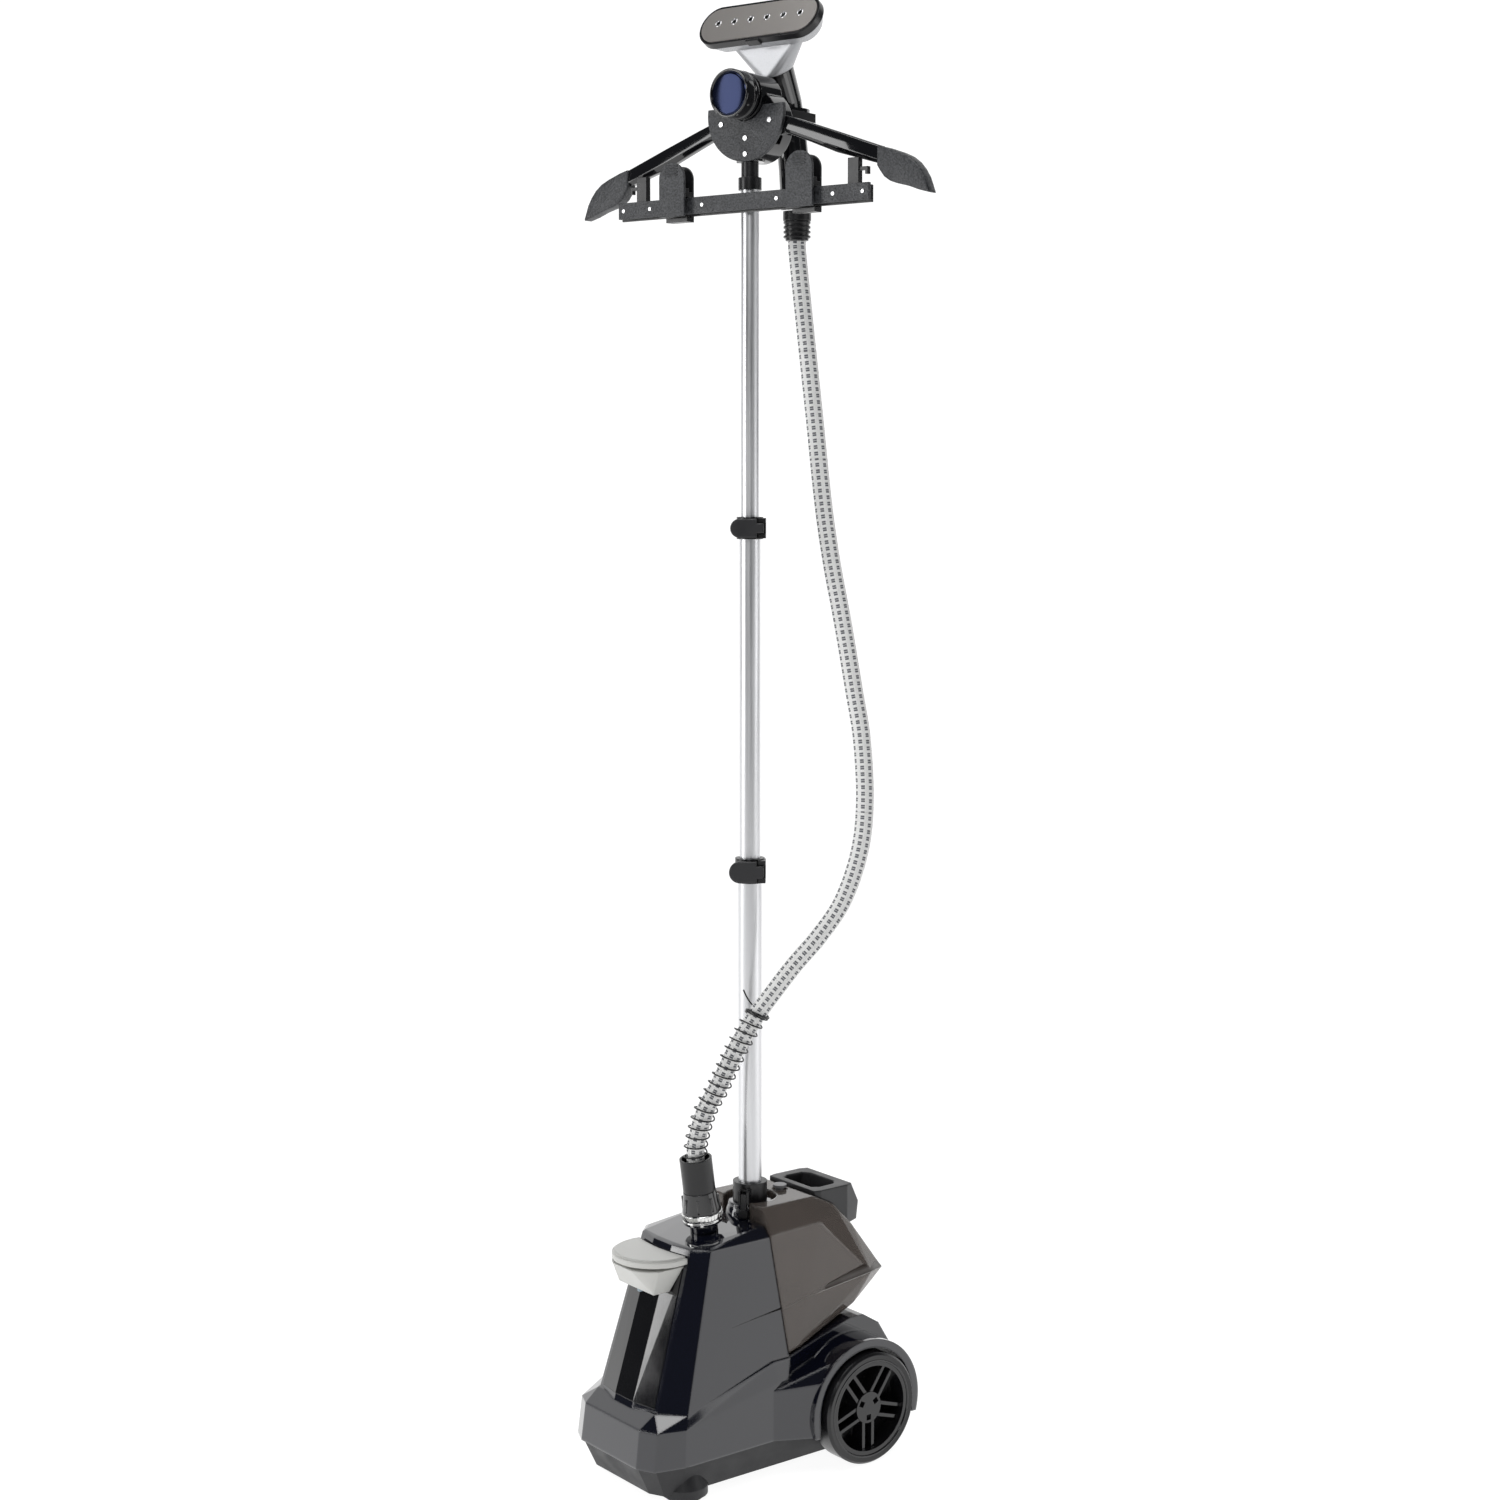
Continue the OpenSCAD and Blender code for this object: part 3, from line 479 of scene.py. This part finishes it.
def outline_block(name, outline, y0, y1, place, body, look, bevel=1.2, mirror=False, **kw):
    """An X-Z outline in millimetres, thick from y0 to y1, with rounded edges."""
    bm = bmesh.new()
    sx = -1 if mirror else 1
    front = [bm.verts.new(place @ mm(sx * x, y0, z)) for x, z in outline]
    back = [bm.verts.new(place @ mm(sx * x, y1, z)) for x, z in outline]
    bm.faces.new(front)
    bm.faces.new(back)
    n = len(outline)
    for i in range(n):
        bm.faces.new((front[i], front[(i + 1) % n], back[(i + 1) % n], back[i]))
    bmesh.ops.recalc_face_normals(bm, faces=bm.faces)
    bmesh.ops.bevel(bm, geom=list(bm.edges), offset=bevel / 1000, segments=3, profile=0.6,
                    affect="EDGES", clamp_overlap=True)
    return piece(name, bm, body, look, **kw)


def section_loft(name, sections, place, body, look, mirror=False, bevel=0.6, **kw):
    """Rings of (x, y, z) millimetre points joined one to the next, closed at both ends."""
    bm = bmesh.new()
    sx = -1 if mirror else 1
    stitch(bm, [[bm.verts.new(place @ mm(sx * x, y, z)) for x, y, z in ring]
                for ring in sections])
    bmesh.ops.recalc_face_normals(bm, faces=bm.faces)
    if bevel:
        sharp = [e for e in bm.edges if len(e.link_faces) == 2 and e.calc_face_angle() > 0.3]
        bmesh.ops.bevel(bm, geom=sharp, offset=bevel / 1000, segments=2, profile=0.6,
                        affect="EDGES", clamp_overlap=True)
    return piece(name, bm, body, look, **kw)


def facing(x, y, z):
    """Local Z of the result points out of the hanger's front at that point."""
    return HANG @ Matrix.Translation(mm(x, y, z)) @ Matrix.Rotation(math.pi / 2, 4, "X")


# knob: barrel with a groove, and a domed mirror face set in a thin lip
KNOB_Z = 1444
lathe("knob_barrel", rounded([(0, -15), (8, -15), (8, -4.0), (24.5, -4.0), (24.5, 0.2),
                              (22.8, 0.6), (22.8, 3.4), (24.5, 3.8), (24.5, 16), (23.6, 16.9),
                              (22.4, 16.9), (21.9, 15.9), (21.4, 15.2), (0, 15.2)], 0.7),
      facing(0, -20, KNOB_Z), "fold_knob", black, replaces=["knob"], slot="knob_mirror")
lathe("knob_mirror_face", [(21.8, 15.0), (21.6, 15.5), (19, 15.9), (15, 16.3), (10, 16.6),
                           (5, 16.8), (0, 16.85)],
      facing(0, -20, KNOB_Z), "fold_knob", knob_blue, slot="knob_mirror")

# wings: a faceted arm with a crease along its front, and a thick paddle at its end
TOP = [(20.4, 1424), (47, 1422), (66, 1416), (110, 1401), (163, 1382.4)]
MID = [(20.4, 1412), (44, 1409), (64, 1402), (110, 1386), (163, 1368.5)]
LOW = [(20.4, 1399), (42, 1404.2), (62, 1397), (110, 1379.6), (163, 1364.2)]
PADDLE = [(160.5, 1382.5), (172, 1379.6), (188, 1374), (198, 1369.5), (206, 1363.5), (212, 1356.5),
          (217, 1348.5), (223.2, 1332.4), (210, 1336), (198, 1340.4), (184, 1344), (176, 1346.8),
          (169, 1351.5), (164, 1358), (160.5, 1363)]
for side, mirror in (("right", False), ("left", True)):
    rings = []
    for (x, zt), (_, zm), (_, zl) in zip(TOP, MID, LOW):
        rings.append([(x, -3.5, zm), (x, -1.6, zt - 1), (x, 0.4, zt), (x, 7.0, zt),
                      (x, 8.3, zt - 2), (x, 8.3, zl + 2), (x, 6.0, zl + 0.3),
                      (x, -0.4, zl + 0.3)])
    section_loft(f"arm_{side}", rings, HANG, "hanger", black, mirror, 0.5,
                 replaces=[f"wing_{side}"], slot="grey_grain")
    outline_block(f"paddle_{side}", PADDLE, -4.7, 9.5, HANG, "hanger", grain, 2.2, mirror,
                  slot="grey_grain")

# shiny rims round the steam holes
PLATE = HANG @ Matrix.Translation((0, 0.014, 1.524)) @ Matrix.Rotation(math.radians(63), 4, "X")
for i in range(6):
    lathe(f"hole_rim_{i + 1}", [(2.5, -2.0), (2.5, 0.1), (2.75, 0.42), (3.3, 0.5), (3.75, 0.34),
                                (4.0, 0.02), (4.0, -0.3)],
          PLATE @ Matrix.Translation(((i - 2.5) * 0.021, 0.002, 0)), "handset", steel, 32,
          slot="sole_metal")

# socket bulb under the pole's collar
lathe("socket_bulb", rounded([(12.6, 257), (23.0, 257.4), (26.2, 262), (26.8, 267), (25.6, 272),
                              (24.2, 275.5), (24.2, 279.7), (12.6, 279.7)], 2.0, 5),
      POLE, "base", navy, replaces=["pole_socket"], slot="navy_gloss")

# nut: a turned ring with a groove; fine ribs stand on it, and thumb ribs on the sleeve
CAP = POLE @ Matrix.Translation(mm(*CAP_AT)) @ Matrix.Rotation(math.radians(CAP_LEAN), 4, "X")
lathe("nut_ring", rounded([(8.4, 13.0), (19.6, 13.0), (21.0, 14.0), (21.4, 17.0), (20.9, 17.8),
                           (20.9, 18.6), (21.5, 19.4), (21.9, 25.2), (21.0, 25.9), (8.4, 25.9)],
                          0.5), CAP, "nut", chrome, replaces=["hose_nut"], slot="chrome_ring")


def ribs(name, count, r0, r1, z0, z1, width, height, place, body, look, **kw):
    """Rounded ribs standing along a cone."""
    bm = bmesh.new()
    for n in range(count):
        turn = place @ Matrix.Rotation(2 * math.pi * n / count, 4, "Z")
        rings = []
        for k in range(7):
            t = k / 6
            z = z0 + (z1 - z0) * t
            r = r0 + (r1 - r0) * t
            tall = height * min(1, 4 * min(t, 1 - t) + 0.1)
            rings.append([bm.verts.new(turn @ mm(r + a, b, z))
                          for a, b in ((-0.8, -width), (tall * 0.7, -width * 0.8), (tall, 0),
                                       (tall * 0.7, width * 0.8), (-0.8, width))])
        stitch(bm, rings)
    return piece(name, bm, body, look, **kw)


ribs("sleeve_ribs", 8, 20.6, 18.4, 28, 43, 1.2, 0.9, CAP, "base", black, slot="black_gloss")
ribs("nut_knurl", 36, 21.5, 21.9, 19.6, 25.0, 0.5, 0.22, CAP, "nut", chrome, slot="chrome_ring")


# fine lines on the body and tank sides: dark bands painted along the crease as its shade, and a
# pale band under it on the tank as a painted highlight
def wall(z):
    """How far out the body's side wall stands at a height."""
    return 76 - (z - 90) * 0.1067


def ridge(name, low, high, body, look, lift=0.3, **kw):
    """A thin band lying on a wall between a lower and an upper line, on both sides."""
    for side, mirror in (("right", False), ("left", True)):
        rings = []
        for a, b in zip(low, high):
            rings.append([(a[0] - 0.5, a[1], a[2]), (a[0] + lift, a[1], a[2] + 0.15),
                          (b[0] + lift, b[1], b[2] - 0.15), (b[0] - 0.5, b[1], b[2])])
        section_loft(f"{name}_{side}", rings, POLE, body, look, mirror, 0, **kw)


# a black band on the body's side: painted shade standing in for the crease's groove
ridge("side_crease_shade", [(wall(177), -9.5, 177.0), (wall(174.6), -40, 174.6), (wall(171), -76, 171.0)],
      [(wall(179.4), -9.5, 179.4), (wall(176), -40, 175.9), (wall(171.5), -76, 171.5)],
      "base", black, 0.25, slot="navy_gloss")
# a dark band on the tank's side: painted shade standing in for the crease's groove
ridge("tank_crease_shade",
      [(67.1, -7, 177.6), (67.1, 30, 184.2), (60.2, 121.6, 190.4), (45.2, 149.4, 186.8)],
      [(67.0, -7, 178.8), (66.7, 31, 187.6), (60.2, 111, 200.6), (45.2, 143, 194.6)],
      "tank", crease_shade_paint, 0.3, slot="smoky_clear")
ridge("tank_line_highlight",
      # a pale band under it: a painted highlight along the groove's lower edge
      [(67.2, -7, 176.8), (67.2, 30, 183.2), (60.0, 122.0, 189.3), (45.0, 149.6, 185.7)],
      [(67.2, -7, 177.5), (67.2, 30, 184.1), (60.2, 121.8, 190.3), (45.2, 149.5, 186.7)],
      "tank", edge_highlight_paint, 0.35, slot="smoky_clear")

# raised lip round each wheel's face
for side, sx in (("right", 1), ("left", -1)):
    hub = POLE @ Matrix.Translation(mm(0, AXLE_Y, AXLE_Z)) @ Matrix.Rotation(
        sx * math.pi / 2, 4, "Y")
    lathe(f"tyre_lip_{side}", [(WHEEL_R - 9.4, WHEEL_OUT - 1.0), (WHEEL_R - 9.0, WHEEL_OUT - 0.35),
                               (WHEEL_R - 8.2, WHEEL_OUT - 0.1), (WHEEL_R - 7.4, WHEEL_OUT - 0.35),
                               (WHEEL_R - 7.0, WHEEL_OUT - 1.0)],
          hub, f"{side}_wheel", wheel_black, slot="tyre_black")

# ribs of the oval release button
BUTTON_Y, BUTTON_TOP = 41, 288.3
bm = bmesh.new()
for k in range(5):
    x = -5.0 + 2.5 * k
    half = 5.6 * math.sqrt(max(0.0, 1 - (x / 7.4) ** 2))
    rings = []
    for t in range(9):
        y = -half + 2 * half * t / 8
        tall = 0.55 * math.sin(math.pi * (0.08 + 0.84 * t / 8))
        rings.append([bm.verts.new(POLE @ mm(x + a, BUTTON_Y + y, BUTTON_TOP + b))
                      for a, b in ((-0.7, 0), (-0.4, tall), (0.4, tall), (0.7, 0))])
    stitch(bm, rings)
piece("button_ribs", bm, "button", button_grey, slot="grey_button")

# ---------- studio ----------
world = bpy.data.worlds.new("studio")
bpy.context.scene.world = world
world.use_nodes = True
world.node_tree.nodes["Background"].inputs["Color"].default_value = (0.9, 0.95, 1.0, 1)
world.node_tree.nodes["Background"].inputs["Strength"].default_value = 0.06


def backdrop():
    """A glowing floor that curves up into a wall behind the object."""
    bm = bmesh.new()
    away = Vector((-math.sin(CAMERA_TURN), math.cos(CAMERA_TURN), 0))
    side = Vector((away.y, -away.x, 0))
    line = [(-4.5, 0.0), (2.0, 0.0)]
    line += [(2.0 + 1.4 * math.sin(math.radians(a)), 1.4 - 1.4 * math.cos(math.radians(a)))
             for a in range(6, 91, 6)] + [(3.4, 5.5)]
    rows = [[bm.verts.new(away * d + side * w + Vector((0, 0, h))) for w in (-6, 0, 6)]
            for d, h in line]
    for r0, r1 in zip(rows, rows[1:]):
        for k in range(2):
            bm.faces.new((r0[k], r0[k + 1], r1[k + 1], r1[k]))
    m = Mat("backdrop_white", (0.25, 0.25, 0.25), 0.9)
    m.shader.inputs["Emission Color"].default_value = (1, 1, 1, 1)
    m.shader.inputs["Emission Strength"].default_value = 0.93
    obj = piece("backdrop", bm, None, m)


backdrop()


def softbox(name, place, target, width, height, power):
    """A rectangular light at place, turned to target."""
    data = bpy.data.lights.new(name, "AREA")
    data.shape = "RECTANGLE"
    data.size, data.size_y = width, height
    data.energy = power
    obj = bpy.data.objects.new(name, data)
    bpy.context.collection.objects.link(obj)
    obj.location = place
    obj.rotation_euler = (Vector(target) - Vector(place)).to_track_quat("-Z", "Y").to_euler()


softbox("side_box", (2.3, 1.9, 0.7), (0, 0, 0.5), 1.9, 1.7, 14)
softbox("front_left_box", (-0.87, -2.35, 1.5), (0, 0, 1.3), 0.8, 1.8, 20)
softbox("front_strip", (-1.5, -2.2, 0.35), (0, 0, 0.3), 0.34, 1.6, 9)
softbox("top_box", (0.4, -0.8, 3.3), (0, 0, 0.6), 1.6, 1.6, 34)
softbox("camera_fill", (2.6, -2.9, 2.9), (0, 0, 0.9), 1.2, 0.8, 24)

bpy.context.scene.view_settings.view_transform = "Standard"
